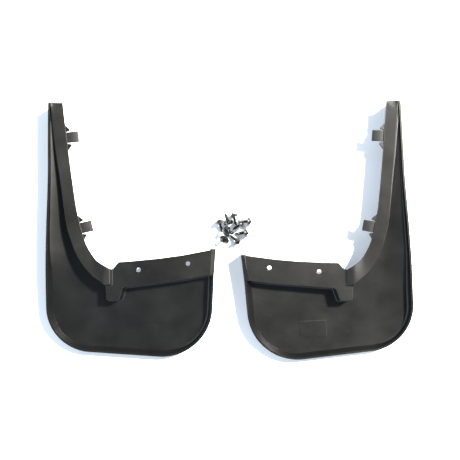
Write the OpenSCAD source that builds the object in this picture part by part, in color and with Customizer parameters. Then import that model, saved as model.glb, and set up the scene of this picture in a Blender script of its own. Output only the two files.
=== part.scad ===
// Pair of moulded mud flaps, left and right, with four slide-in clips and nine fixing screws.
// The set lies on a flat surface with the tray side of both flaps facing up.

/* [Panel] */
// Thickness of the tray floor and of every wall
wall = 2.6; // [2:0.1:3.5]
// Height of the rim above the resting face along the lower edge
rim_height = 12; // [9:0.5:16]
// Height of the rim at the narrow upper end
rim_upper_height = 27.5; // [26:0.5:28]
// Rise of the tray floor from the resting face to the narrow upper end
floor_rise = 21; // [14:0.5:22]
// Width of the panel across its lower part
panel_width = 230; // [215:0.5:245]
// Radius of the lower outer corner
outer_corner_r = 62; // [40:1:75]
// Radius of the lower inner corner
inner_corner_r = 70; // [50:1:80]
// Slope of the lower edge and of the inner side, in degrees
edge_slope = 3.2; // [0:0.1:6]
// Full height of the panel, lower edge to the narrow upper end
panel_height = 348; // [330:1:370]
// Amount the outer side leans in from the lower corner to the upper end
outer_lean = 5.8; // [0:0.5:10]

/* [Arch side] */
// Height of the curved arch strip above the resting face
strip_height = 29; // [26:0.5:32]
// Height of the screw flange above the resting face
flange_height = 24; // [22:0.5:26]
// Length of the ramp that joins the strip to the flange
ramp_length = 9; // [6:0.5:12]
// Distance between the two screw holes
hole_spacing = 68; // [60:0.5:76]
// Diameter of each screw hole
hole_d = 6; // [5:0.1:8]
// Angle of the line through the two screw holes, in degrees
hole_line_angle = 7.3; // [4:0.1:10]

/* [Clips] */
// Thickness of a clip tongue
clip_thickness = 1.6; // [1.2:0.1:2]
// Width of a clip tongue
clip_width = 15; // [12:0.5:18]
// Length of tongue that shows past the strip
clip_reach = 15.2; // [12:0.5:20]
// Drop of the bent end of a tongue
clip_bend_drop = 3; // [1:0.5:5]
// Clearance around a clip in its guide
clip_gap = 0.4; // [0.3:0.05:0.6]
// Overlap of each guide lip below the tongue edge
guide_lip = 1.6; // [1:0.1:2.5]

/* [Screws] */
// Outer thread diameter
screw_d = 4.8; // [4:0.1:5.5]
// Length of the screw below its washer face
screw_length = 16; // [12:0.5:19]
// Diameter of the washer formed on the head
washer_d = 13.6; // [11:0.1:15]
// Diameter of the domed head
head_d = 8.6; // [7:0.1:10]
// Height of the domed head above the washer face
head_height = 3.6; // [2.5:0.1:4.5]
// Thread pitch
pitch = 1.8; // [1.2:0.1:2.2]

/* [Layout] */
// Outer edge of the left flap, from the middle of the set
left_flap_x = -254; // [-270:1:-240]
// Lower edge of both flaps, from the middle of the set
flap_y = -175; // [-185:1:-165]
// Turn of the right flap from a true mirror image, in degrees
right_turn = 3; // [0:0.1:5]
// Shift of the right flap towards the left
right_shift = 3.4; // [0:0.1:8]
// Drop of the right flap from a true mirror image
right_drop = 4.2; // [0:0.1:8]

// Middle of the heap of screws
heap_x = 0; // [-10:0.1:10]
// Middle of the heap of screws, up the flaps
heap_y = 0; // [-10:0.1:10]

/* [Hidden] */
$fn = 48;

black_plastic = [0.13, 0.13, 0.13];
black_steel = [0.08, 0.08, 0.08];
arc_steps = 9;
curve_steps = 3;
overlap = 0.4;

// Centres of the two lower corners and of the two screw holes
outer_corner = [outer_corner_r + 1.5, outer_corner_r + 6];
inner_corner = [panel_width - inner_corner_r, inner_corner_r - 0.5];
first_hole = [129.3, 120.6];
second_hole = first_hole + hole_spacing * [cos(hole_line_angle), sin(hole_line_angle)];

// Tray-side line of the strip wall, from the ramp to the upper end
strip_tray_line = [
  [84, 102.5], [78, 105.5], [66, 114], [55, 127], [46, 141.5], [38, 162],
  [31.5, 186], [25, 235], [20, 279], [14, 330], [12, panel_height - 2]
];
// Free edge of the strip, from the upper end to the ramp
strip_free_line = [
  [27, panel_height - 1], [29.5, 324], [36, 270], [43.5, 216], [48.5, 190],
  [56, 162.5], [62.5, 148], [71.5, 135], [80, 128.5], [84, 126]
];
// Lower edge of the flange and of its tab, from the inner end to the ramp
flange_lower_line = [
  [228, 113.5], [197, 108], [160.5, 103.2], [129, 99], [108, 96.5],
  [102.8, 79], [85.4, 79], [84, 102.5]
];
// Upper edge of the flange, from the ramp to the inner end
flange_upper_line = [
  [84 + ramp_length, 121], [102, 131.2], [123, 132.8], [156, 136], [188.5, 140.2],
  [221, 146], [230, 147.8]
];
flange_end_foot = [234.5, 147.5];

// Side views: underside of the tray floor and top of the rim, as [up the flap, height]
floor_side = [
  [-2, 0], [45, 0], [120, 0.45 * floor_rise], [175, 0.69 * floor_rise], [240, 0.86 * floor_rise],
  [panel_height + 4, floor_rise]
];
rim_side = [
  [-2, rim_height], [12, rim_height], [70, 19], [120, 22.6], [150, 23.6], [200, 25.3],
  [panel_height + 4, rim_upper_height]
];

// Proportions of a screw
core_d = 3.4;
point_length = 4.5;
washer_rise = 1.3;
washer_edge = 0.6;
recess_length = 4.8;
recess_width = 1.1;
recess_depth = 2.2;

function between(a, b, c, d, t) =
  0.5 * (2 * b + (c - a) * t + (2 * a - 5 * b + 4 * c - d) * t * t + (3 * b - a - 3 * c + d) * t * t * t);

function smooth(line) = let (last = len(line) - 1) [
  for (i = [0 : last - 1]) for (k = [0 : curve_steps - 1])
    between(line[max(i - 1, 0)], line[i], line[i + 1], line[min(i + 2, last)], k / curve_steps),
  line[last]
];

function arc(centre, r, from, to) = [
  for (i = [0 : arc_steps]) let (a = from + (to - from) * i / arc_steps)
    centre + r * [cos(a), sin(a)]
];

function heading(from, to) = (to - from) / norm(to - from);

// A parallel line at a distance on the left-hand side, with mitred corners
function beside(line, distance) = let (last = len(line) - 1) [
  for (i = [0 : last]) let (
    before = heading(line[max(i - 1, 0)], line[max(i, 1)]),
    after = heading(line[min(i, last - 1)], line[min(i + 1, last)]),
    middle = (before + after) / norm(before + after)
  ) line[i] + distance * [-middle.y, middle.x] / (middle * before)
];

function reversed(line) = [for (i = [len(line) - 1 : -1 : 0]) line[i]];

outer_line = concat(
  [[outer_lean, panel_height], [outer_lean - 0.7, 240]],
  arc(outer_corner, outer_corner_r, 180, 270 - edge_slope),
  arc(inner_corner, inner_corner_r, 270 - edge_slope, 360 - edge_slope),
  [[232, 113.5], flange_end_foot]
);
strip_wall_line = smooth(strip_tray_line);
strip_edge_line = smooth(strip_free_line);

// A wall of even thickness that follows a line, on its left-hand side
module wall_along(line, thickness, height) {
  linear_extrude(height) polygon(concat(line, reversed(beside(line, thickness))));
}

// Extrudes a side view across the whole width: its points are [up the flap, height]
module across(side_view) {
  translate([-5, 0, 0]) rotate([90, 0, 90]) linear_extrude(panel_width + 15) polygon(side_view);
}

// The tray floor lies flat along the lower edge and climbs towards the narrow upper end
module tray_floor() {
  inner_side = [for (i = [0 : len(outer_line) - 2]) outer_line[i]];
  intersection() {
    linear_extrude(strip_height) polygon(concat(inner_side, flange_lower_line, strip_wall_line));
    across(concat(floor_side, [for (p = reversed(floor_side)) p + [0, wall]]));
  }
}

// The rim is cut to a top line that climbs with the floor, a little less steeply
module rim() {
  intersection() {
    wall_along(outer_line, wall, strip_height);
    across(concat(rim_side, [[panel_height + 4, 0], [-2, 0]]));
  }
}

module strip() {
  outline = concat(strip_edge_line, strip_wall_line);
  translate([0, 0, strip_height - wall]) linear_extrude(wall) polygon(outline);
  wall_along(strip_wall_line, -wall, strip_height - overlap);
}

module flange_area() {
  lower_side = [for (i = [0 : len(flange_lower_line) - 2]) flange_lower_line[i]];
  polygon(concat(flange_upper_line, lower_side, [[84.3, 97.5], [84 + ramp_length, 97.5]]));
}

module flange() {
  translate([0, 0, flange_height - wall]) linear_extrude(wall) flange_area();
  wall_along(flange_lower_line, -wall, flange_height - overlap);
}

// Thin upright slice of a plate, used as one end of the ramp or of the inner end wall
module slice(from, to, thickness, low, high) {
  translate([0, 0, low]) linear_extrude(high - low)
    polygon([from, to, to + [thickness, 0], from + [thickness, 0]]);
}

module ramp() {
  top = strip_height;
  hull() {
    slice([84 - overlap, 102.5], [84 - overlap, 126], overlap, top - wall, top);
    slice([84 + ramp_length, 99], [84 + ramp_length, 122], overlap, flange_height - wall, flange_height);
  }
  hull() {
    slice([84 - overlap, 102.5], [84 - overlap, 105], overlap, 0, top);
    slice([84 + ramp_length, 99], [84 + ramp_length, 101.5], overlap, 0, flange_height);
  }
}

// Sloped wall that closes the inner end of the flange
module inner_end_wall() {
  hull() {
    slice([225.6, 113.5], [227.6, 148], wall, flange_height - wall, flange_height);
    slice([231.4 - wall, 113.5], [flange_end_foot.x - wall, flange_end_foot.y], wall, 0, wall);
  }
}

module upper_end_wall() {
  translate([outer_lean, panel_height - wall - 1, 0]) cube([13, wall, strip_height - overlap]);
}

// A clip station is the middle of the strip edge and the outward direction of the clip
upper_station = [32.6, 300.5, 7];
lower_station = [51.6, 177.6, 13];
upper_depth = 11;
lower_depth = 12.5;

module at_station(station) {
  translate([station.x, station.y, 0]) rotate([0, 0, station.z]) children();
}

clip_top = strip_height - wall - clip_gap;
clip_bottom = clip_top - clip_thickness;
guide_width = 2.4;
guide_inner = clip_width / 2 + clip_gap;
guide_reach = 3.2;

// One guide: a side cheek with a lip under the tongue and a wedge-shaped outer end
module guide_side(depth, side) {
  low = clip_bottom - clip_gap - 1.2;
  high = strip_height - wall + overlap;
  mirror([0, side < 0 ? 1 : 0, 0]) {
    translate([0, 0, low]) linear_extrude(high - low) polygon([
      [-depth, guide_inner],
      [guide_reach, guide_inner],
      [guide_reach - 0.4, guide_inner + guide_width],
      [-2, guide_inner + guide_width + 6.5],
      [-depth, guide_inner + guide_width]
    ]);
    translate([-depth, guide_inner - guide_lip, low])
      cube([depth + guide_reach - 0.6, guide_lip + overlap, 1.2]);
  }
}

module guides(station, depth) {
  at_station(station) {
    guide_side(depth, 1);
    guide_side(depth, -1);
  }
}

module flap() {
  difference() {
    union() {
      tray_floor();
      rim();
      strip();
      flange();
      ramp();
      inner_end_wall();
      upper_end_wall();
      guides(upper_station, upper_depth);
      guides(lower_station, lower_depth);
    }
    for (hole = [first_hole, second_hole])
      translate([hole.x, hole.y, flange_height - wall - 1]) cylinder(d = hole_d, h = wall + 2);
  }
}

// Tongue seated in its guide, with a bent free end and a folded stop at the inner end
module clip(station, depth) {
  flat = clip_reach - 5;
  at_station(station) {
    translate([-depth + clip_gap, -clip_width / 2, clip_bottom])
      cube([depth + flat - clip_gap, clip_width, clip_thickness]);
    translate([flat, clip_width / 2, 0]) rotate([90, 0, 0]) linear_extrude(clip_width) polygon([
      [-overlap, clip_bottom],
      [5, clip_bottom - clip_bend_drop],
      [5, clip_top - clip_bend_drop],
      [-overlap, clip_top]
    ]);
  }
}

// Brings the middle of the set's bounding box to the origin
module centred() {
  translate([0.321, 1.295, 0]) children();
}

module on_left() {
  translate([left_flap_x, flap_y, 0]) children();
}

// The right flap is a mirror image, turned a little about the middle of its screw holes
module on_right() {
  middle = (first_hole + second_hole) / 2 + [left_flap_x, flap_y];
  pivot = [-middle.x, middle.y, 0];
  translate(pivot + [-right_shift, -right_drop, 0]) rotate([0, 0, right_turn]) translate(-pivot)
    mirror([1, 0, 0]) on_left() children();
}

module left_flap() {
  color(black_plastic) centred() on_left() flap();
}

module right_flap() {
  color(black_plastic) centred() on_right() flap();
}

module left_upper_clip() {
  color(black_steel) centred() on_left() clip(upper_station, upper_depth);
}

module left_lower_clip() {
  color(black_steel) centred() on_left() clip(lower_station, lower_depth);
}

module right_upper_clip() {
  color(black_steel) centred() on_right() clip(upper_station, upper_depth);
}

module right_lower_clip() {
  color(black_steel) centred() on_right() clip(lower_station, lower_depth);
}

// Thread teeth from under the washer down to the start of the point
thread_teeth = floor((screw_length - point_length) / pitch);
thread_side = [
  for (i = [0 : thread_teeth - 1]) for (step = [0 : 2])
    [step == 1 ? screw_d / 2 : core_d / 2, -i * pitch - [0.3, 0.9, 1.5][step] * pitch / 1.8]
];
head_dome = [
  for (i = [0 : 4]) let (a = 84 - 20 * i)
    [head_d / 2 * cos(a), washer_rise + (head_height - washer_rise) * sin(a)]
];

// A screw stands with its washer face at the origin and its point down
module screw() {
  difference() {
    rotate_extrude() polygon(concat(
      [[0, head_height]],
      head_dome,
      [[washer_d / 2 - 0.5, washer_edge + 0.3], [washer_d / 2, washer_edge], [washer_d / 2, 0]],
      [[core_d / 2, 0]],
      thread_side,
      [[core_d / 2, point_length - screw_length], [0.25, 0.3 - screw_length], [0, -screw_length]]
    ));
    for (turn = [0, 90]) rotate([0, 0, turn])
      translate([-recess_length / 2, -recess_width / 2, head_height - recess_depth])
        cube([recess_length, recess_width, recess_depth + 1]);
  }
}

// Places a screw: position of the washer face, heading of the point, dip of the point
module lay(x, y, z, heading, dip) {
  color(black_steel) centred() translate([heap_x + x, heap_y + y, z]) rotate([0, 0, heading]) rotate([0, dip - 90, 0]) screw();
}

module screw_01() {
  lay(-14.5, 11, 6.9, -75, 23);
}

module screw_02() {
  lay(-7.5, -13.5, 12.2, 54, 47);
}

module screw_03() {
  lay(10.5, -16, 6.9, 140, 23);
}

module screw_04() {
  lay(21.5, -4, 6.9, 186, 23);
}

module screw_05() {
  lay(26, 11.5, 6.9, 178, 23);
}

module screw_06() {
  lay(5, 19.5, 6.9, -72, 23);
}

module screw_07() {
  lay(-2.5, 10.5, 6.4, 108, -30);
}

module screw_08() {
  lay(-4.5, -1, 15, -25, 47);
}

module screw_09() {
  lay(15, 8.5, 12.5, 218, 25);
}

left_flap();
right_flap();
left_upper_clip();
left_lower_clip();
right_upper_clip();
right_lower_clip();
screw_01();
screw_02();
screw_03();
screw_04();
screw_05();
screw_06();
screw_07();
screw_08();
screw_09();
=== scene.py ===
import math

import bpy
import bmesh
import numpy as np
from mathutils import Matrix, Vector
from mathutils.geometry import delaunay_2d_cdt


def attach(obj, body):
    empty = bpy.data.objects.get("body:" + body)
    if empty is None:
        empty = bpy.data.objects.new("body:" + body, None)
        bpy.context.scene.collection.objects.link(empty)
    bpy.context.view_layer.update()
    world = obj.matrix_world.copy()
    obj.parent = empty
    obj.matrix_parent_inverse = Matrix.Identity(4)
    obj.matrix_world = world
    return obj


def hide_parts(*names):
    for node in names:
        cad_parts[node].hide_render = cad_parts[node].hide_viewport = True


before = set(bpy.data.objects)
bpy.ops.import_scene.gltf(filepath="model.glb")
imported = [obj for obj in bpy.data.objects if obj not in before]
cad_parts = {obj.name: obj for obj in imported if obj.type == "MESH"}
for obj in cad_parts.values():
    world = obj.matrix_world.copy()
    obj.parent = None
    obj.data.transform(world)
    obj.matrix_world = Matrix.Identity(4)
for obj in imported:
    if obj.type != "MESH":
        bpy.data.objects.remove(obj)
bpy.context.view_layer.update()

MM = 0.001

# ---------------------------------------------------------------- layout, in millimetres
# Each flap is built in a frame of its own: x across from the outer side, y up from the
# lower edge, z up from the surface it lies on. Places, holes, clips and the heap repeat the
# design's numbers. FLOOR_SIDE and the hollow in dish() are shaped for the look instead, and lie
# up to a few millimetres off the design's floor.
SET_SHIFT = (0.321, 1.295)
FLAP_AT = (-254.0, -175.0)
RIGHT_TURN = math.radians(3.0)
RIGHT_SHIFT = (3.4, 4.2)
WALL = 2.6
UNDER = 0.12
STRIP_H = 28.98
FLANGE_H = 23.98
RIM_SIDE = ((-2, 12.0), (12, 12.0), (70, 19.0), (120, 22.6), (150, 23.6), (200, 25.3), (352, 27.4))
LIMB_X, LIMB_SLOPE, RIM_BLEND = 24.0, 0.12, 0.5
FLOOR_SIDE = ((-2, 0.0), (30, 0.0), (66, 1.6), (100, 4.2), (125, 6.0),
              (177, 8.6), (222, 11.6), (267, 13.2), (352, 15.5))
RAMP_X = (81.0, 82.5, 90.0, 91.0, 93.4, 94.2)
RAMP_DROP = (0.0, 0.02, 0.24, 0.32, 0.96, 1.0)
HOLE_ANGLE = math.radians(7.3)
FIRST_HOLE, HOLE_SPACING = (129.3, 120.6), 68
HOLES = [FIRST_HOLE, (FIRST_HOLE[0] + HOLE_SPACING * math.cos(HOLE_ANGLE),
                      FIRST_HOLE[1] + HOLE_SPACING * math.sin(HOLE_ANGLE))]
HOLE_R, HOLE_LIP = 3.0, 0.35
# a clip's place, its turn in degrees and the depth of its guide
STATIONS = {"upper": (32.6, 300.5, 7.0, 11.0), "lower": (51.6, 177.6, 13.0, 12.5)}
CLIP_TOP, CLIP_BOTTOM, CLIP_HALF = 26.0, 24.4, 7.5
# each screw's place, heading and dip in degrees
HEAP = [
    (-14.5, 11, 6.9, -75, 23), (-7.5, -13.5, 12.2, 54, 47), (10.5, -16, 6.9, 140, 23),
    (21.5, -4, 6.9, 186, 23), (26, 11.5, 6.9, 178, 23), (5, 19.5, 6.9, -72, 23),
    (-2.5, 10.5, 6.4, 108, -30), (-4.5, -1, 15, -25, 47), (15, 8.5, 12.5, 218, 25),
]


def to_left(p):
    q = np.array(p, float)
    q[:, 0] += FLAP_AT[0] + SET_SHIFT[0]
    q[:, 1] += FLAP_AT[1] + SET_SHIFT[1]
    return q * MM


def to_right(p):
    q = np.array(p, float)
    q[:, 0] = -(q[:, 0] + FLAP_AT[0])
    q[:, 1] += FLAP_AT[1]
    px = -((HOLES[0][0] + HOLES[1][0]) / 2 + FLAP_AT[0])
    py = (HOLES[0][1] + HOLES[1][1]) / 2 + FLAP_AT[1]
    dx, dy = q[:, 0] - px, q[:, 1] - py
    c, s = math.cos(RIGHT_TURN), math.sin(RIGHT_TURN)
    q[:, 0] = px - RIGHT_SHIFT[0] + dx * c - dy * s + SET_SHIFT[0]
    q[:, 1] = py - RIGHT_SHIFT[1] + dx * s + dy * c + SET_SHIFT[1]
    return q * MM


# ---------------------------------------------------------------- lines in the plane
def spline(points, step=1.5):
    p = np.array(points, float)
    out = []
    for i in range(len(p) - 1):
        a, b, c, d = p[max(i - 1, 0)], p[i], p[i + 1], p[min(i + 2, len(p) - 1)]
        n = max(2, int(np.linalg.norm(c - b) / step))
        for k in range(n):
            t = k / n
            out.append(0.5 * (2 * b + (c - a) * t + (2 * a - 5 * b + 4 * c - d) * t * t
                              + (3 * b - a - 3 * c + d) * t ** 3))
    out.append(p[-1])
    return np.array(out)


def arc(centre, r, start, end, step=1.5):
    n = max(3, int(abs(math.radians(end - start)) * r / step))
    a = np.radians(np.linspace(start, end, n + 1))
    return np.stack([centre[0] + r * np.cos(a), centre[1] + r * np.sin(a)], 1)


def rounded(points, radii, step=0.7, closed=False):
    """A line whose corners are replaced by arcs of the given radii."""
    p = [np.array(q, float) for q in points]
    count = len(p)
    out = [] if closed else [p[0]]
    for i in (range(count) if closed else range(1, count - 1)):
        a, b = p[i - 1] - p[i], p[(i + 1) % count] - p[i]
        la, lb = np.linalg.norm(a), np.linalg.norm(b)
        a, b = a / la, b / lb
        half = math.acos(max(-1.0, min(1.0, float(a @ b)))) / 2
        cut = min(radii[i] / math.tan(half), la * 0.49, lb * 0.49)
        r = cut * math.tan(half)
        if r < 0.05 or half > 1.5:
            out.append(p[i])
            continue
        mid = (a + b) / np.linalg.norm(a + b)
        c = p[i] + mid * (r / math.sin(half))
        t0 = math.atan2(*((p[i] + a * cut - c)[::-1]))
        t1 = math.atan2(*((p[i] + b * cut - c)[::-1]))
        t1 += 2 * math.pi * round((t0 - t1) / (2 * math.pi))
        n = max(4, int(abs(t1 - t0) * r / step))
        for k in range(n + 1):
            t = t0 + (t1 - t0) * k / n
            out.append(c + r * np.array([math.cos(t), math.sin(t)]))
    if not closed:
        out.append(p[-1])
    return np.array(out)


def even(line, step):
    d = np.r_[0, np.cumsum(np.linalg.norm(np.diff(line, axis=0), axis=1))]
    keep = np.r_[True, np.diff(d) > 1e-6]
    line, d = line[keep], d[keep]
    s = np.linspace(0, d[-1], max(2, int(d[-1] / step)) + 1)
    return np.stack([np.interp(s, d, line[:, k]) for k in range(2)], 1)


def beside(points, distance):
    """A parallel line on the left-hand side with mitred corners."""
    p = np.array(points, float)
    t = np.diff(p, axis=0)
    t /= np.linalg.norm(t, axis=1, keepdims=True)
    before, after = np.vstack([t[:1], t]), np.vstack([t, t[-1:]])
    mid = before + after
    mid /= np.linalg.norm(mid, axis=1, keepdims=True)
    reach = distance / np.sum(mid * before, axis=1, keepdims=True)
    return p + reach * np.stack([-mid[:, 1], mid[:, 0]], 1)


def tangents(line):
    t = np.gradient(line, axis=0)
    return t / np.maximum(np.linalg.norm(t, axis=1, keepdims=True), 1e-9)


def smoothstep(t):
    t = np.clip(t, 0, 1)
    return t * t * (3 - 2 * t)


def inside(points, loop):
    x, y = points[:, 0], points[:, 1]
    hit = np.zeros(len(points), bool)
    for (x1, y1), (x2, y2) in zip(loop, np.roll(loop, -1, axis=0)):
        if y1 == y2:
            continue
        across = (y1 > y) != (y2 > y)
        hit ^= across & (x < (x2 - x1) * (y - y1) / (y2 - y1) + x1)
    return hit


def crossings(a, b):
    """Where line a crosses line b: segment of a, segment of b and the point."""
    found = []
    d2 = b[1:] - b[:-1]
    for i in range(len(a) - 1):
        d1 = a[i + 1] - a[i]
        den = d1[0] * d2[:, 1] - d1[1] * d2[:, 0]
        den = np.where(np.abs(den) < 1e-12, 1e-12, den)
        w = b[:-1] - a[i]
        s = (w[:, 0] * d2[:, 1] - w[:, 1] * d2[:, 0]) / den
        t = (w[:, 0] * d1[1] - w[:, 1] * d1[0]) / den
        for j in np.nonzero((s >= 0) & (s < 1) & (t >= 0) & (t < 1))[0]:
            found.append((i, int(j), a[i] + d1 * s[j]))
    return found


def between(ring, wall):
    """The outline between the rim's ring and the arch wall's, from one crossing to the other."""
    hits = crossings(ring, wall)
    (i0, j0, top), (i1, j1, end) = hits[0], hits[-1]
    return np.vstack([[top], ring[i0 + 1:i1 + 1], [end], wall[j1 + 1:j0 + 1]])


# ---------------------------------------------------------------- surfaces of a flap
def soft_line(points, width=9.0):
    """A smooth height along the flap through a side view's corner points."""
    at = np.arange(points[0][0], points[-1][0] + 1, 2.0)
    h = np.interp(at, [p[0] for p in points], [p[1] for p in points])
    k = np.exp(-0.5 * (np.arange(-30, 31, 2.0) / width) ** 2)
    padded = np.pad(h, 15, mode="reflect", reflect_type="odd")
    return at, np.convolve(padded, k / k.sum(), mode="valid")


FLOOR_LINE = soft_line(FLOOR_SIDE, 14.0)
RIM_LINE = soft_line(RIM_SIDE, 7.0)


def under_z(x, y):
    """Underside of the panel: flat along the lower edge, then climbing up the flap."""
    return UNDER + np.maximum(np.interp(y, *FLOOR_LINE), 0.0) + 0.0 * x


def nearest(q, line):
    """Distance from each point to the nearest point of a line."""
    d = np.empty(len(q))
    for k in range(0, len(q), 400):
        d[k:k + 400] = np.sqrt(((q[k:k + 400, None] - line[None]) ** 2).sum(2).min(1))
    return d


def dish(x, y):
    """The panel is slightly hollow: it rises towards the outer, inner and lower rims."""
    x, y = np.broadcast_arrays(np.asarray(x, float), np.asarray(y, float))
    outer = np.clip((105 - x) / 105, 0, 1)
    inner = np.clip((x - 130) / 102, 0, 1.1)
    limb = smoothstep((y - 60) / 90)
    side = (1 - limb) * 4.6 * outer ** 2.4 + limb * 6.3 * outer ** 3.1
    t = np.clip((LIMB_X - x) / LIMB_X, -0.6, 1)
    steep = LIMB_SLOPE * LIMB_X * smoothstep((y - 85) / 65) * np.maximum(t + 0.6, 0) ** 1.4 / 1.6
    rim = nearest(np.stack([x.ravel(), y.ravel()], 1), OUTER_LINE).reshape(x.shape)
    return side + steep + 2.2 * inner ** 3.6 + RIM_BLEND * np.exp(-np.maximum(rim - 3, 0) / 5.5)


def floor_z(x, y):
    return under_z(x, y) + WALL + dish(x, y)


def plate_low(x, y):
    """Underside of the strip, of the ramp and of the flange with its tab."""
    down = 1 - np.interp(x, RAMP_X, RAMP_DROP)
    return FLANGE_H - WALL + (STRIP_H - FLANGE_H) * down * smoothstep((y - 98.4) / 3.4)


def plate_z(x, y):
    """Upper side: the strip thins towards its free edge."""
    x, y = np.asarray(x, float), np.asarray(y, float)
    q = np.stack([x.ravel(), y.ravel()], 1)
    drop = np.zeros(len(q))
    on = (q[:, 0] < 90) & (q[:, 1] > 100)
    if on.any():
        tray, free = nearest(q[on], STRIP_EDGES[0]), nearest(q[on], STRIP_EDGES[1])
        drop[on] = STRIP_DROP * tray / (tray + free + 0.01)
    drop = drop.reshape(x.shape) * smoothstep((88 - x) / 22) * smoothstep((y - 100) / 10)
    return plate_low(x, y) + WALL - drop


class Profile:
    """A cross-section: distance from the line, height, and the direction it faces."""

    def __init__(self, n, z, facing):
        self.p = [(n, z) + facing]

    def arc(self, c, r, start, end, steps, sign=1):
        for a in np.radians(np.linspace(start, end, steps + 1)):
            f = (sign * math.cos(a), sign * math.sin(a))
            self.p.append((c[0] + r * math.cos(a), c[1] + r * math.sin(a)) + f)

    def line(self, n, z, steps=1):
        n0, z0, fn, fz = self.p[-1]
        for k in range(1, steps + 1):
            t = k / steps
            self.p.append((n0 + (n - n0) * t, z0 + (z - z0) * t, fn, fz))

    def foot(self, r, lean, base, sign, steps):
        """Down a leaning face and round a fillet onto a level base."""
        n0, z0, _, _ = self.p[-1]
        rise = base + r
        c = n0 + (r - (rise - z0) * math.sin(lean)) / math.cos(lean)
        self.line(c - r * math.cos(lean), rise - r * math.sin(lean), 4)
        self.arc((c, rise), r, 180 + math.degrees(lean), 270, steps, sign)


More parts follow.
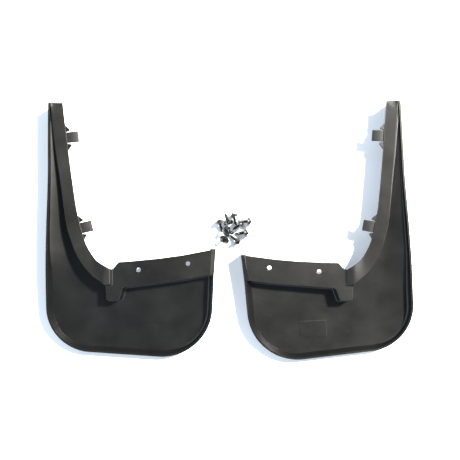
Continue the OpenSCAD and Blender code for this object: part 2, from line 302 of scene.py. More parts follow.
class Moulding:
    """Collects the surfaces of one moulded part with the directions they face."""

    def __init__(self):
        self.v, self.n, self.f, self.count = [], [], [], 0

    def add(self, verts, normals, faces):
        self.v.append(np.asarray(verts, float))
        self.n.append(np.asarray(normals, float))
        self.f += [tuple(int(i) + self.count for i in f) for f in faces]
        self.count += len(verts)

    def grid(self, P, N):
        rows, cols = P.shape[:2]
        geo = np.cross(P[1:, :-1] - P[:-1, :-1], P[:-1, 1:] - P[:-1, :-1])
        flip = np.sum(geo * N[:-1, :-1]) < 0
        faces = []
        for i in range(rows - 1):
            for j in range(cols - 1):
                q = (i * cols + j, (i + 1) * cols + j, (i + 1) * cols + j + 1, i * cols + j + 1)
                faces.append(q[::-1] if flip else q)
        self.add(P.reshape(-1, 3), N.reshape(-1, 3), faces)

    def sweep(self, line, profiles, slope=None):
        T = tangents(line)
        P, N = [], []
        for i, prof in enumerate(profiles):
            q = np.array(prof.p)
            left = np.array([-T[i, 1], T[i, 0]])
            low, high = q[:, 1].min(), q[:, 1].max()
            up = np.clip((q[:, 1] - low) / max(high - low, 1e-6), 0, 1)
            g = (slope[i] if slope is not None else 0.0) * up * q[:, 3]
            P.append(np.column_stack([line[i] + q[:, :1] * left, q[:, 1]]))
            n = np.column_stack([q[:, 2:3] * left - g[:, None] * T[i], q[:, 3]])
            N.append(n / np.maximum(np.linalg.norm(n, axis=1, keepdims=True), 1e-9))
        P, N = np.array(P), np.array(N)
        self.grid(P, N)
        return P

    def patch(self, loop, holes, height, up=True, spacing=4.0, fine=()):
        """A filled outline whose height is a function of x and y."""
        lo, hi = loop.min(0), loop.max(0)
        rings = [loop] + list(holes)
        edges, base = [], 0
        for ring in rings:
            edges += [(base + i, base + (i + 1) % len(ring)) for i in range(len(ring))]
            base += len(ring)
        rim = np.vstack(rings)
        g = np.stack(np.meshgrid(np.arange(lo[0] + spacing / 2, hi[0], spacing),
                                 np.arange(lo[1] + spacing / 2, hi[1], spacing)), -1).reshape(-1, 2)
        gap = np.full(len(g), spacing * 0.4)
        for (x0, x1, y0, y1), s in fine:
            out = ~((g[:, 0] > x0 - s) & (g[:, 0] < x1 + s) & (g[:, 1] > y0 - s) & (g[:, 1] < y1 + s))
            f = np.stack(np.meshgrid(np.linspace(x0, x1, int((x1 - x0) / s) + 1),
                                     np.linspace(y0, y1, int((y1 - y0) / s) + 1)), -1).reshape(-1, 2)
            g, gap = np.vstack([g[out], f]), np.r_[gap[out], np.full(len(f), s * 0.4)]
        ok = inside(g, loop)
        for h in holes:
            ok &= ~inside(g, h)
        g, gap = g[ok], gap[ok]
        near = np.array([np.min(np.sum((rim - q) ** 2, 1)) for q in g])
        allp = np.vstack([rim, g[near > gap ** 2]])
        res = delaunay_2d_cdt([Vector(p) for p in allp], edges, [], 0, 1e-6)
        co = np.array([tuple(p) for p in res[0]])
        tris = np.array([t for t in res[2] if len(t) == 3])
        mid = co[tris].mean(1)
        keep = inside(mid, loop)
        for h in holes:
            keep &= ~inside(mid, h)
        tris = tris[keep]
        x, y, e = co[:, 0], co[:, 1], 0.05
        gx = (height(x + e, y) - height(x - e, y)) / (2 * e)
        gy = (height(x, y + e) - height(x, y - e)) / (2 * e)
        n = np.stack([-gx, -gy, np.ones_like(gx)], 1)
        n /= np.linalg.norm(n, axis=1, keepdims=True)
        a, b, c = co[tris[:, 0]], co[tris[:, 1]], co[tris[:, 2]]
        area = (b[:, 0] - a[:, 0]) * (c[:, 1] - a[:, 1]) - (b[:, 1] - a[:, 1]) * (c[:, 0] - a[:, 0])
        tris[area < 0] = tris[area < 0][:, ::-1]
        if not up:
            n, tris = -n, tris[:, ::-1]
        self.add(np.column_stack([co, height(x, y)]), n, tris)

    def face(self, points, normal):
        """One flat face, possibly with many corners."""
        p, n = np.array(points, float), np.array(normal, float)
        turn = np.zeros(3)
        for a, b in zip(p, np.roll(p, -1, axis=0)):
            turn += np.cross(a, b)
        order = range(len(p)) if turn @ n > 0 else range(len(p) - 1, -1, -1)
        self.add(p, np.tile(n / np.linalg.norm(n), (len(p), 1)), [tuple(order)])

    def prism(self, outline, z0, z1, r=0.4):
        """A block with rounded upper and lower edges; its outline runs anticlockwise."""
        o = np.vstack([outline, outline[:1]])
        prof = Profile(r, z0, (0, -1))
        prof.arc((r, z0 + r), r, 270, 180, 3)
        prof.line(0, z1 - r, 1)
        prof.arc((r, z1 - r), r, 180, 90, 3)
        t = tangents(np.vstack([outline[-1:], o, outline[1:2]]))[1:-1]
        P, N = [], []
        for i, q in enumerate(o):
            left = np.array([-t[i, 1], t[i, 0]])
            c = np.array(prof.p)
            P.append(np.column_stack([q + c[:, :1] * left, c[:, 1]]))
            N.append(np.column_stack([c[:, 2:3] * left, c[:, 3]]))
        P = np.array(P)
        self.grid(P, np.array(N))
        self.face(P[:-1, -1], (0, 0, 1))
        self.face(P[:-1, 0], (0, 0, -1))

    def build(self, name, place, mirrored, material):
        flat, normal = np.vstack(self.v), np.vstack(self.n)
        v = place(flat)
        n = place(flat + normal) - v
        n /= np.linalg.norm(n, axis=1, keepdims=True)
        faces = [f[::-1] for f in self.f] if mirrored else self.f
        me = bpy.data.meshes.new(name)
        me.from_pydata(v.tolist(), [], faces)
        me.polygons.foreach_set("use_smooth", [True] * len(me.polygons))
        me.normals_split_custom_set_from_vertices(n.tolist())
        me.materials.append(material)
        ob = bpy.data.objects.new(name, me)
        bpy.context.scene.collection.objects.link(ob)
        return ob


# ---------------------------------------------------------------- guide lines of a flap
OUTER_C, OUTER_R = (63.5, 68.0), 62.0
INNER_C, INNER_R = (160.0, 69.5), 70.0
SLOPE = 3.2
FLANGE_CORNER = (234.6, 148.8)
OUTER_LINE = even(np.vstack([
    spline([(6.5, 347.9), (6.2, 300), (5.9, 250), (4.8, 215), (3.2, 177), (1.9, 133), (1.55, 92)], 3),
    arc(OUTER_C, OUTER_R, 180, 270 - SLOPE),
    arc(INNER_C, INNER_R, 270 - SLOPE, 360 - SLOPE),
    [(232.0, 113.5), FLANGE_CORNER],
]), 1.6)

TRAY_CORNERS = [(231, 114.2), (197, 108), (160.5, 103.2), (129, 99), (108.1, 96.4), (102.8, 79),
                (85.4, 79), (84.3, 99.8), (78, 105.3), (72, 109.4)]
STRIP_TRAY = [(72, 109.4), (66, 114), (55, 127), (46, 141.5), (38, 162), (31.5, 186), (25, 235),
              (18.8, 279), (12.6, 330), (10.0, 347.8)]


def tray_line(offset, radii, step):
    """The tray-side line of the flange, its tab and the strip, at a distance to its left."""
    corners = np.array(TRAY_CORNERS + STRIP_TRAY[1:], float)
    moved = beside(corners, offset)
    n = len(TRAY_CORNERS)
    first = rounded(moved[:n], radii)[:-1]
    return even(np.vstack([first, spline(moved[n - 1:], 2.0)]), step)


TRAY_LINE = tray_line(0.0, [0, 30, 60, 40, 4.6, 2.4, 2.4, 4.6, 12, 0], 0.9)
BACK_LINE = tray_line(-WALL + 0.15, [0, 30, 60, 40, 7.2, 1.6, 1.6, 7.2, 12, 0], 1.1)
FREE_LINE = even(np.vstack([
    rounded([(230, 148.4), (221, 146.6), (188.5, 140.4), (156, 136), (123, 132.8), (102, 131.2),
             (93, 121), (86, 125)], [0, 60, 60, 60, 60, 2.5, 3.0, 0], 0.8)[:-1],
    spline([(86, 125), (80, 128.5), (71.5, 135), (62.5, 148), (56, 162.5), (48.5, 190),
            (43.5, 216), (36, 270), (29.5, 324), (27.2, 344)], 2.0),
    rounded([(27.2, 344), (26.9, 347.8), (14.5, 347.8)], [0, 1.6, 0], 0.4)[1:],
]), 1.0)

STRIP_DROP = 1.9
STRIP_EDGES = [g[(g[:, 0] < 92) & (g[:, 1] > 99)] for g in (TRAY_LINE, FREE_LINE)]
RIM_T = 2.8
# The rim leans less and has a wider fillet, the second value of each pair, where its inner
# face looks away from the key light. So the two hands' rims aren't exact mirror images.
RIM_LEAN = (math.radians(28), math.radians(13))
RIM_TOP_R = 0.5
RIM_INNER_R = 0.1
RIM_FOOT_R = (0.08, 3.2)
RIM_INSET = 0.15
ARCH_LEAN = math.radians(4.5)
ARCH_FOOT_R = 2.4
EDGE_R = 0.8


def rim_profile(h, zf, uz, foot, tilt):
    """From the panel's underside, down a skirt, up the outer face, over and down to the floor."""
    a, r = RIM_INSET, RIM_TOP_R
    p = Profile(a + 7.0, uz, (0, -1))
    p.line(a + 3.3, uz)
    p.p.append((a + 2.75, max(uz - 0.5, UNDER), 0.6, -0.8))
    p.p.append((a + 2.6, max(uz - 1.3, UNDER), 1, 0))
    start = len(p.p)
    p.arc((a + 1.3, UNDER + 1.3), 1.3, 360, 180, 10)
    p.p[start:start + 5] = [(n, min(z, uz), f, g) for n, z, f, g in p.p[start:start + 5]]
    p.line(a, h - r, 3)
    p.arc((a + r, h - r), r, 180, 90, 6)
    r = RIM_INNER_R
    p.line(a + RIM_T - r, h)
    p.arc((a + RIM_T - r, h - r), r, 90, math.degrees(tilt), 4)
    p.foot(min(foot, 0.62 * (h - r - zf)), tilt, zf, -1, 9)
    return p


def arch_profile(h, zf, r):
    p = Profile(-r - 0.01, h, (0, 1))
    p.arc((-r, h - r), r, 90, math.degrees(ARCH_LEAN), 7)
    p.foot(ARCH_FOOT_R, ARCH_LEAN, zf, -1, 7)
    return p


def back_profile(top, uz):
    """Far side of the arch wall: from under the strip down, round its foot and up to the panel."""
    p = Profile(-1.01, top, (0, -1))
    p.arc((-1.0, top - 1.0), 1.0, 90, math.degrees(ARCH_LEAN), 4, -1)
    out = (-math.cos(ARCH_LEAN), -math.sin(ARCH_LEAN))
    p.p[-1] = p.p[-1][:2] + out
    n = math.tan(ARCH_LEAN) * (top - UNDER - 2.3)
    p.line(n, UNDER + 1.3, 4)
    p.arc((n + 1.3, UNDER + 1.3), 1.3, 180, 360, 8)
    p.line(n + 2.6, max(uz - 1.2, UNDER + 1.31))
    p.p.append((n + 2.8, uz - 0.4, 0.6, -0.8))
    p.p.append((n + 3.4, uz, 0, -1))
    return p


def edge_profile(h, low):
    r = min(EDGE_R, (h - low) / 2 - 0.02)
    p = Profile(EDGE_R + 0.01, h, (0, 1))
    p.line(r, h)
    p.arc((r, h - r), r, 90, 180, 5)
    p.line(0.0, low + r)
    p.arc((r, low + r), r, 180, 270, 4)
    p.line(EDGE_R + 0.01, low)
    return p


def rim_height(x, y):
    return np.interp(y, *RIM_LINE) + 0.0 * x


def level_rows(line, make, guess):
    """Profiles along a line whose feet meet the floor where they land."""
    T = tangents(line)
    left = np.stack([-T[:, 1], T[:, 0]], 1)
    foot = line + left * guess
    for _ in range(3):
        zf = floor_z(foot[:, 0], foot[:, 1])
        rows = [make(i, zf[i]) for i in range(len(line))]
        foot = line + left * np.array([r.p[-1][0] for r in rows])[:, None]
    return rows


def slope_along(line, h):
    d = np.r_[0, np.cumsum(np.linalg.norm(np.diff(line, axis=0), axis=1))]
    return np.gradient(h, d)


def local(station, points):
    x, y, a = station[0], station[1], math.radians(station[2])
    p = np.array(points, float)
    c, s = math.cos(a), math.sin(a)
    return np.stack([x + p[:, 0] * c - p[:, 1] * s, y + p[:, 0] * s + p[:, 1] * c], 1)


def add_guides(m, station):
    """Two cheeks with lips below, which hold a clip's tongue."""
    depth = station[3]
    inner, low, high = CLIP_HALF + 0.4, CLIP_BOTTOM - 1.6, STRIP_H - WALL + 0.2
    for side in (1, -1):
        cheek = [(-depth, inner), (-0.6, inner), (5.0, inner + 1.6), (4.7, inner + 3.4),
                 (-0.6, inner + 9.4), (-2, inner + 9.4), (-depth, inner + 2.4)]
        lip = [(-depth, inner - 1.6), (-1.2, inner - 1.6), (-1.2, inner + 0.4), (-depth, inner + 0.4)]
        for shape, z0, z1, r in ((cheek, low, high, 0.5), (lip, low, low + 1.2, 0.3)):
            pts = [(a, b * side) for a, b in shape]
            if side < 0:
                pts = pts[::-1]
            m.prism(rounded(local(station, pts), [0.5] * len(pts), 0.3, True), z0, z1, r)


def add_rim(m, mirrored):
    heights = rim_height(OUTER_LINE[:, 0], OUTER_LINE[:, 1])
    T = tangents(OUTER_LINE)
    low = under_z(0, OUTER_LINE[:, 1] + T[:, 0] * (RIM_INSET + 7.0))
    shaded = smoothstep((T[:, 1] * (-1 if mirrored else 1) - 0.2) / 0.5)
    foot = RIM_FOOT_R[0] + (RIM_FOOT_R[1] - RIM_FOOT_R[0]) * shaded
    flare = RIM_LEAN[0] * (1 - 0.6 * smoothstep((OUTER_LINE[:, 1] - 110) / 70))
    tilt = flare + (RIM_LEAN[1] - flare) * shaded

    def profile(i, zf):
        return rim_profile(heights[i], zf, low[i], foot[i], tilt[i])

    rows = level_rows(OUTER_LINE, profile, 6.0)
    rim = m.sweep(OUTER_LINE, rows, slope_along(OUTER_LINE, heights))
    m.face(rim[0], (0, 1, 0))
    m.face(rim[-1], (0, 1, 0))
    past = rim[rim[:, 0, 1] > 108]
    past = past[past[:, 0, 0] > 120]
    closing = np.stack([past[:, 0], past[:, -1]], 1)
    m.grid(closing, np.tile(np.array([-1.0, 0, 0]), closing.shape[:2] + (1,)))
    return rim


def add_arch_wall(m):
    """The wall on the arch side, front and back."""
    T = tangents(TRAY_LINE)
    x, y = TRAY_LINE[:, 0], TRAY_LINE[:, 1]
    soft = smoothstep((92 - x) / 12) * smoothstep((y - 99) / 8)
    radius = 1.0 - 0.3 * soft
    inward = TRAY_LINE - np.stack([-T[:, 1], T[:, 0]], 1) * radius[:, None]
    h = plate_z(inward[:, 0], inward[:, 1])
    rows = level_rows(TRAY_LINE, lambda i, zf: arch_profile(h[i], zf, radius[i]), 4.0)
    arch = m.sweep(TRAY_LINE, rows, slope_along(TRAY_LINE, h))
    T = tangents(BACK_LINE)
    h = plate_low(BACK_LINE[:, 0], BACK_LINE[:, 1])
    under = under_z(0, BACK_LINE[:, 1] + T[:, 0] * 5.0)
    rows = [back_profile(top, low) for top, low in zip(h, under)]
    return arch, m.sweep(BACK_LINE, rows, slope_along(BACK_LINE, h))


def add_panel(m, rim, arch, back, pad):
    """Upper and lower faces of the panel, with a blank pad on the upper one."""
    x0, x1, y0, y1, rise = pad

    def upper(px, py):
        edge = smoothstep((px - x0) / 1.2) * smoothstep((x1 - px) / 1.2)
        edge = edge * smoothstep((py - y0) / 1.2) * smoothstep((y1 - py) / 1.2)
        return floor_z(px, py) + rise * edge

    loop = between(rim[:, -1, :2], arch[:, -1, :2])
    m.patch(loop, [], upper, True, 4.0, [((x0, x1, y0, y1), 0.6)])
    loop = between(rim[:, 0, :2], back[:, -1, :2])
    m.patch(loop, [], under_z, False, 7.0)


def add_plate(m, arch, back):
    """Strip, ramp, flange and tab, with the two screw holes."""
    T = tangents(FREE_LINE)
    free_in = FREE_LINE + np.stack([-T[:, 1], T[:, 0]], 1) * EDGE_R
    high = plate_z(free_in[:, 0], free_in[:, 1])
    low = plate_low(free_in[:, 0], free_in[:, 1])
    m.sweep(FREE_LINE, [edge_profile(v, w) for v, w in zip(high, low)], slope_along(FREE_LINE, high))
    turn = np.linspace(0, 2 * math.pi, 41)
    out = np.stack([np.cos(turn), np.sin(turn)], 1)
    holes = [np.array(c) + out[:-1] * (HOLE_R + HOLE_LIP) for c in HOLES]
    ramp = [((81.0, 95.5, 96.5, 127.0), 0.7)]
    end = [(229.2, 147.7), (225.9, 114.4)]
    for ring, height, up in ((arch[:, 0, :2], plate_z, True), (back[:, 0, :2], plate_low, False)):
        ring = ring[(ring[:, 0] < 225.7) & (ring[:, 1] < 346.9)]
        m.patch(np.vstack([ring, free_in[::-1], end]), holes, height, up, 3.0, ramp)
    p = Profile(HOLE_R + HOLE_LIP, FLANGE_H, (0, 1))
    p.arc((HOLE_R + HOLE_LIP, FLANGE_H - HOLE_LIP), HOLE_LIP, 90, 180, 3)
    p.line(HOLE_R, FLANGE_H - WALL + HOLE_LIP)
    p.arc((HOLE_R + HOLE_LIP, FLANGE_H - WALL + HOLE_LIP), HOLE_LIP, 180, 270, 3)
    q = np.array(p.p)
    for c in HOLES:
        P = np.array([np.column_stack([np.array(c) + q[:, :1] * d, q[:, 1]]) for d in out])
        N = np.array([np.column_stack([q[:, 2:3] * d, q[:, 3]]) for d in out])
        m.grid(P, N)


def add_bevel(m):
    """Narrow bevel between the flange's inner end and the rim."""
    t = np.linspace(0, 1, 12)
    a = np.stack([225.9 + 3.9 * t, 112.6 + 35.7 * t, np.full(12, FLANGE_H)], 1)
    b = np.stack([231.0 + 2.6 * t, 113.5 + 35.2 * t, rim_height(t, 113.5 + 35.2 * t) - 0.02], 1)
    bevel = np.stack([a, a * 0.4 + b * 0.6 + [0, 0, 0.1], b], 1)
    m.grid(bevel, np.tile(np.array([0.14, 0, 0.99]), bevel.shape[:2] + (1,)))
    under = np.stack([a - [0, 0, WALL], b - [0, 0, WALL]], 1)
    m.grid(under, np.tile(np.array([0, 0, -1.0]), under.shape[:2] + (1,)))
    m.face([a[-1], b[-1], b[-1] - [0, 0, WALL], a[-1] - [0, 0, WALL]], (0, 1, 0))


def add_end_wall(m):
    """The wall that closes the narrow upper end."""
    wall = [(7.4, 345.4), (18.8, 345.4), (18.8, 347.8), (7.4, 347.8)]
    m.prism(rounded(wall, [0.3] * 4, 0.3, True), UNDER, 27.3, 0.3)


def make_flap(name, place, mirrored, material, pad):
    m = Moulding()
    rim = add_rim(m, mirrored)
    arch, back = add_arch_wall(m)
    add_panel(m, rim, arch, back, pad)
    add_plate(m, arch, back)
    add_bevel(m)
    add_end_wall(m)
    for station in STATIONS.values():
        add_guides(m, station)
    return m.build(name, place, mirrored, material)


# ---------------------------------------------------------------- clips
def make_clip(name, station, place, mirrored, material):
    """A flat tongue with rounded edges whose free end curves down."""
    m = Moulding()
    x, y, turn, depth = station
    ca, sa = math.cos(math.radians(turn)), math.sin(math.radians(turn))
    mid, half = (CLIP_TOP + CLIP_BOTTOM) / 2, (CLIP_TOP - CLIP_BOTTOM) / 2 - 0.02
    path = [(-depth + 0.45, mid)]
    path += [(u, mid - (u - 1.0) ** 2 / 100) for u in (1.0, 3.0, 5.0, 7.0, 9.0, 11.0, 13.0, 15.1)]
    path = np.array(path)
    path[:, 1] = np.maximum(path[:, 1], CLIP_BOTTOM - 3.0 + half)
    fine = even(path, 0.6)
    t = tangents(fine)
    r, hw = 0.5, CLIP_HALF - 0.04
    section = rounded([(-hw, -half), (hw, -half), (hw, half), (-hw, half)], [r] * 4, 0.2, True)
    section = np.vstack([section, section[:1]])
    sn = tangents(np.vstack([section[-2:-1], section, section[1:2]]))[1:-1]
    sn = np.stack([sn[:, 1], -sn[:, 0]], 1)
    P, N = [], []
    ends = np.r_[0.0, np.cumsum(np.linalg.norm(np.diff(fine, axis=0), axis=1))]
    for i, (c, d) in enumerate(zip(fine, t)):
        up = np.array([-d[1], d[0]])
        squeeze = 1 - 0.9 * math.exp(-((ends[-1] - ends[i]) / 0.5) ** 2) * 0.35
        taper = 1 - 0.03 * smoothstep((ends[i] - ends[-1] + 1.6) / 1.6)
        row, nrm = [], []
        for (s, v), (ns, nv) in zip(section, sn):
            s, v = s * taper, v * squeeze
            pu, pz = c + up * v
            row.append((x + pu * ca - s * sa, y + pu * sa + s * ca, pz))
            nu, nz = up * nv
            nrm.append((nu * ca - ns * sa, nu * sa + ns * ca, nz))
        P.append(row)
        N.append(nrm)
    P, N = np.array(P), np.array(N)
    m.grid(P, N)
    out = np.array([ca, sa, 0])
    m.face(P[0, :-1], -out)
    m.face(P[-1, :-1], out)
    return m.build(name, place, mirrored, material)


# ---------------------------------------------------------------- screws
SCREW_R, CORE_R, PITCH, LENGTH, POINT = 2.4, 1.62, 1.8, 16.0, 4.6
HEAD_TOP, HEAD_R, DOME_R = 3.58, 4.15, 5.2


def add_head(m):
    """The domed head on its washer, down to the top of the thread."""
    turn = np.linspace(0, 2 * math.pi, 49)
    ring = np.stack([np.cos(turn), np.sin(turn)], 1)
    p = Profile(0.0, HEAD_TOP, (0, 1))
    for k in range(1, 9):
        t = math.radians(90 - 6.4 * k)
        r = HEAD_R * math.cos(t) / math.cos(math.radians(90 - 51.2))
        z = HEAD_TOP - DOME_R * (1 - math.sin(t)) * 1.02
        p.p.append((min(r, HEAD_R), z, math.cos(t), math.sin(t)))
    p.line(4.2, 1.35)
    p.p.append((4.26, 1.18, 0.85, 0.53))
    p.p.append((4.6, 0.98, 0.35, 0.94))
    p.p.append((6.2, 0.82, 0.12, 0.99))
    p.arc((6.42, 0.47), 0.34, 80, -90, 6)
    p.line(6.2, 0.1)
    p.p.append((6.2, 0.1, 0, -1))
    p.p.append((2.6, 0.02, 0, -1))
    p.p.append((1.75, -0.3, 0.9, -0.45))
    q = np.array(p.p)
    P = np.array([np.column_stack([q[:, :1] * d, q[:, 1]]) for d in ring])
    N = np.array([np.column_stack([q[:, 2:3] * d, q[:, 3]]) for d in ring])
    m.grid(P, N)


def add_thread(m):
    """One helical band as wide as the pitch: root, flank, crest, flank."""
    turns = (LENGTH - 0.2) / PITCH
    steps = int(turns * 28)
    band = [(0.0, 0.0), (0.55, 0.0), (0.84, 0.93), (0.90, 1.0),
            (0.98, 1.0), (1.04, 0.93), (1.3, 0.0), (1.8, 0.0)]
    flank = [(1, 0), (0.9, 0.4), (0.55, 0.83), (0.95, 0.3),
             (0.95, -0.3), (0.55, -0.83), (0.9, -0.4), (1, 0)]
    P, N = [], []
    for i in range(steps + 1):
        ang = 2 * math.pi * turns * i / steps
        row, nrm = [], []
        for (dz, up), (fr, fz) in zip(band, flank):
            z = -ang / (2 * math.pi) * PITCH - dz + 0.9
            z = max(min(z, 0.0), -LENGTH)
            left = LENGTH + z
            core = CORE_R * min(1.0, 0.1 + 0.9 * (left / POINT) ** 0.85) if left > 0 else 0.05
            fade = float(smoothstep(-z / 1.6)) * float(smoothstep((left + 0.2) / 3.2))
            r = core + (SCREW_R - CORE_R) * up * fade
            row.append((r * math.cos(ang), r * math.sin(ang), z))
            nrm.append((fr * math.cos(ang), fr * math.sin(ang), fz))
        P.append(row)
        N.append(nrm)
    m.grid(np.array(P), np.array(N))


def recess_cutter(material):
    """A tapered cross, in the place of the recess."""
    bm = bmesh.new()
    for k in (0, 1):
        verts = []
        for z, hl, hw in ((4.4, 2.75, 0.62), (1.35, 1.2, 0.34)):
            for sx, sy in ((-1, -1), (1, -1), (1, 1), (-1, 1)):
                px, py = (sx * hl, sy * hw) if k == 0 else (-sy * hw, sx * hl)
                verts.append(bm.verts.new((px * MM, py * MM, z * MM)))
        t, b = verts[:4], verts[4:]
        bm.faces.new(t)
        bm.faces.new(b[::-1])
        for i in range(4):
            j = (i + 1) % 4
            bm.faces.new((t[j], t[i], b[i], b[j]))
    bmesh.ops.recalc_face_normals(bm, faces=bm.faces)
    cross = bpy.data.meshes.new("recess_form")
    bm.to_mesh(cross)
    bm.free()
    cross.materials.append(material)
    cutter = bpy.data.objects.new("recess_form", cross)
    bpy.context.scene.collection.objects.link(cutter)
    return cutter


def screw_mesh(material):
    """A washer-head tapping screw: washer face at z = 0, point down."""
    m = Moulding()
    add_head(m)
    add_thread(m)
    ob = m.build("screw_form", lambda v: np.array(v, float) * MM, False, material)
    cutter = recess_cutter(material)
    cut = ob.modifiers.new("recess", "BOOLEAN")
    cut.object = cutter
    cut.operation = "DIFFERENCE"
    cut.solver = "EXACT"
    cut.use_self = True
    bpy.context.view_layer.update()
    done = bpy.data.meshes.new_from_object(ob.evaluated_get(bpy.context.evaluated_depsgraph_get()))
    for o in (ob, cutter):
        bpy.data.objects.remove(o, do_unlink=True)
    return done


def screw_matrix(x, y, z, heading, dip):
    at = Matrix.Translation(((x + SET_SHIFT[0]) * MM, (y + SET_SHIFT[1]) * MM, z * MM))
    swing = Matrix.Rotation(math.radians(heading), 4, "Z")
    lean = Matrix.Rotation(math.radians(dip - 90), 4, "Y")
    return at @ swing @ lean


# ---------------------------------------------------------------- finishes
def link(tree, a, b):
    tree.links.new(a, b)


def finish(name, color, rough, rough_spread, grain_size, grain, scuff, tint=(1, 1, 1), ior=1.5):
    """Black finish with fine grain, cloudy variation and rubbed marks."""
    mat = bpy.data.materials.new(name)
    mat.use_nodes = True
    t = mat.node_tree
    b = t.nodes["Principled BSDF"]
    b.inputs["IOR"].default_value = ior
    coord = t.nodes.new("ShaderNodeTexCoord")

    def noise(scale, detail, roughness=0.5, stretch=None):
        n = t.nodes.new("ShaderNodeTexNoise")
        n.inputs["Scale"].default_value = scale
        n.inputs["Detail"].default_value = detail
        n.inputs["Roughness"].default_value = roughness
        if stretch is None:
            link(t, coord.outputs["Object"], n.inputs["Vector"])
        else:
            mp = t.nodes.new("ShaderNodeMapping")
            mp.inputs["Rotation"].default_value = stretch[0]
            mp.inputs["Scale"].default_value = stretch[1]
            link(t, coord.outputs["Object"], mp.inputs["Vector"])
            link(t, mp.outputs["Vector"], n.inputs["Vector"])
        return n.outputs["Fac"]

    def remap(src, lo, hi, a, c):
        n = t.nodes.new("ShaderNodeMapRange")
        for k, v in zip(("From Min", "From Max", "To Min", "To Max"), (lo, hi, a, c)):
            n.inputs[k].default_value = v
        link(t, src, n.inputs["Value"])
        return n.outputs["Result"]

    def combine(op, a, c):
        n = t.nodes.new("ShaderNodeMath")
        n.operation = op
        for k, v in enumerate((a, c)):
            if isinstance(v, (int, float)):
                n.inputs[k].default_value = v
            else:
                link(t, v, n.inputs[k])
        return n.outputs["Value"]

    cloud = noise(28, 3, 0.55)
    fine = noise(grain_size, 2, 0.6)
    marks = noise(60, 4, 0.6, ((0.2, 0.1, 0.7), (1, 7, 1)))
    rubbed = remap(marks, 0.62, 0.74, 0.0, 1.0)
    r = combine("ADD", remap(cloud, 0.3, 0.7, rough - rough_spread, rough + rough_spread),
                combine("MULTIPLY", rubbed, scuff))
    r = combine("ADD", r, remap(fine, 0.3, 0.7, -0.03, 0.03))
    link(t, r, b.inputs["Roughness"])
    ramp = t.nodes.new("ShaderNodeMix")
    ramp.data_type = "RGBA"
    ramp.inputs[6].default_value = (*[color * 0.86 * c for c in tint], 1)
    ramp.inputs[7].default_value = (*[color * 1.16 * c for c in tint], 1)
    link(t, remap(cloud, 0.3, 0.7, 0.0, 1.0), ramp.inputs[0])
    link(t, ramp.outputs[2], b.inputs["Base Color"])
    h = combine("ADD", fine, combine("MULTIPLY", noise(grain_size * 0.33, 3), 0.6))
    h = combine("ADD", h, combine("MULTIPLY", rubbed, 0.15))
    bump = t.nodes.new("ShaderNodeBump")
    bump.inputs["Strength"].default_value = grain
    bump.inputs["Distance"].default_value = 0.0002
    link(t, h, bump.inputs["Height"])
    link(t, bump.outputs["Normal"], b.inputs["Normal"])
    return mat


# The base colours are darker than real black plastic or coated steel: they are matched to the
# photograph's tones under this light, and aren't measured.
FLAP = finish("flap_plastic", color=0.0012, rough=0.38, rough_spread=0.035,
              grain_size=1500, grain=0.30, scuff=0.06, tint=(1.0, 0.99, 0.97))
CLIP = finish("clip_plastic", color=0.005, rough=0.48, rough_spread=0.04,
              grain_size=2200, grain=0.35, scuff=0.06, ior=1.42)
STEEL = finish("screw_steel", color=0.0015, rough=0.28, rough_spread=0.05,
               grain_size=2600, grain=0.20, scuff=0.10, ior=1.45)

# ---------------------------------------------------------------- pieces
# blank pads where the panels carry raised marks: sides, lower and upper edge, and rise
PADS = {"left": (128, 152, 27, 43, 0.10), "right": (120, 158, 28, 52, 0.16)}
for side, place, mirrored in (("left", to_left, False), ("right", to_right, True)):
    body = f"{side}_flap"
    flap = make_flap(f"{side}_flap_moulding", place, mirrored, FLAP, PADS[side])
    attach(flap, body)
    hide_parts(body)
    for level, station in STATIONS.items():
        node = f"{side}_{level}_clip"
        clip = make_clip(f"{node}_tongue", station, place, mirrored, CLIP)
        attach(clip, node)
        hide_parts(node)

SCREW = screw_mesh(STEEL)
for k, pose in enumerate(HEAP):
    node = f"screw_{k + 1:02d}"
    form = SCREW.copy()
    form.transform(screw_matrix(*pose) @ Matrix.Rotation(0.7 * k, 4, "Z"))
    screw = bpy.data.objects.new(f"{node}_body", form)
    bpy.context.scene.collection.objects.link(screw)
    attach(screw, node)
    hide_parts(node)

# ---------------------------------------------------------------- table, light and camera
TABLE_SIZE, TABLE_GAP = 4.0, 0.0004
bpy.ops.mesh.primitive_plane_add(size=TABLE_SIZE, location=(0, 0, -TABLE_GAP))
table = bpy.context.object
table.name = "table"
white = bpy.data.materials.new("table_white_painted_glow")
white.use_nodes = True
bsdf = white.node_tree.nodes["Principled BSDF"]
bsdf.inputs["Base Color"].default_value = (0.90, 0.90, 0.90, 1)
bsdf.inputs["Roughness"].default_value = 0.9
bsdf.inputs["Specular IOR Level"].default_value = 0.1
# The table also glows faintly bluish: painted light that lifts the shadows cast on it, not a lamp.
bsdf.inputs["Emission Color"].default_value = (0.80, 0.90, 1.0, 1)
bsdf.inputs["Emission Strength"].default_value = 0.19
table.data.materials.append(white)

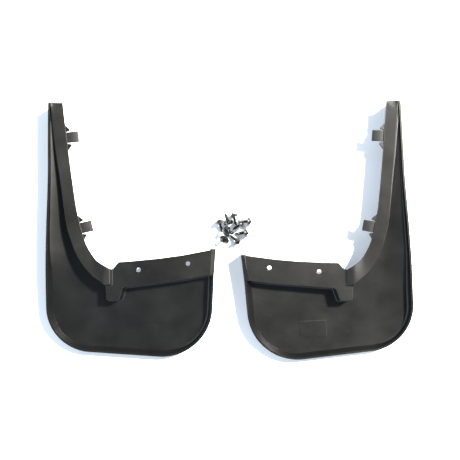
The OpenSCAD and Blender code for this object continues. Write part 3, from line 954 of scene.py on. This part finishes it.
ROOM_WALLS, ROOM_CEILING = 1.45, 0.05
world = bpy.data.worlds.new("room")
bpy.context.scene.world = world
world.use_nodes = True
# the room is bright towards its walls, brighter on the left, and dim straight above
room = world.node_tree
sky = room.nodes["Background"]
way = room.nodes.new("ShaderNodeTexCoord")
split = room.nodes.new("ShaderNodeSeparateXYZ")
room.links.new(way.outputs["Generated"], split.inputs["Vector"])


def spread(source, a, b, low, high):
    node = room.nodes.new("ShaderNodeMapRange")
    for key, v in zip(("From Min", "From Max", "To Min", "To Max"), (a, b, low, high)):
        node.inputs[key].default_value = v
    room.links.new(source, node.inputs["Value"])
    return node.outputs["Result"]


by_height = spread(split.outputs["Z"], 0.70, 0.94, ROOM_WALLS, ROOM_CEILING)
by_side = spread(split.outputs["X"], -0.8, 0.8, 1.3, 0.75)
both = room.nodes.new("ShaderNodeMath")
both.operation = "MULTIPLY"
room.links.new(by_height, both.inputs[0])
room.links.new(by_side, both.inputs[1])
room.links.new(both.outputs["Value"], sky.inputs["Strength"])
sky.inputs["Color"].default_value = (0.76, 0.87, 1.0, 1)


def area_light(name, at, size, power, color):
    data = bpy.data.lights.new(name, "AREA")
    data.shape = "DISK"
    data.size = size
    data.energy = power
    data.color = color
    ob = bpy.data.objects.new(name, data)
    ob.location = at
    ob.rotation_euler = (Vector((0, 0, 0)) - Vector(at)).to_track_quat("-Z", "Y").to_euler()
    bpy.context.scene.collection.objects.link(ob)
    return ob


area_light("key", at=(2.12, 1.43, 2.60), size=0.42, power=790.0, color=(1.0, 0.96, 0.87))
area_light("fill", at=(-1.6, -0.1, 1.2), size=1.6, power=4.0, color=(0.70, 0.84, 1.0))

CAMERA_HEIGHT = 0.9

data = bpy.data.cameras.new("camera")
data.sensor_width = 36
data.lens = 50.31
camera = bpy.data.objects.new("camera", data)
camera.location = (SET_SHIFT[0] * MM, SET_SHIFT[1] * MM, CAMERA_HEIGHT)
bpy.context.scene.collection.objects.link(camera)
bpy.context.scene.camera = camera
bpy.context.scene.view_settings.view_transform = "Standard"
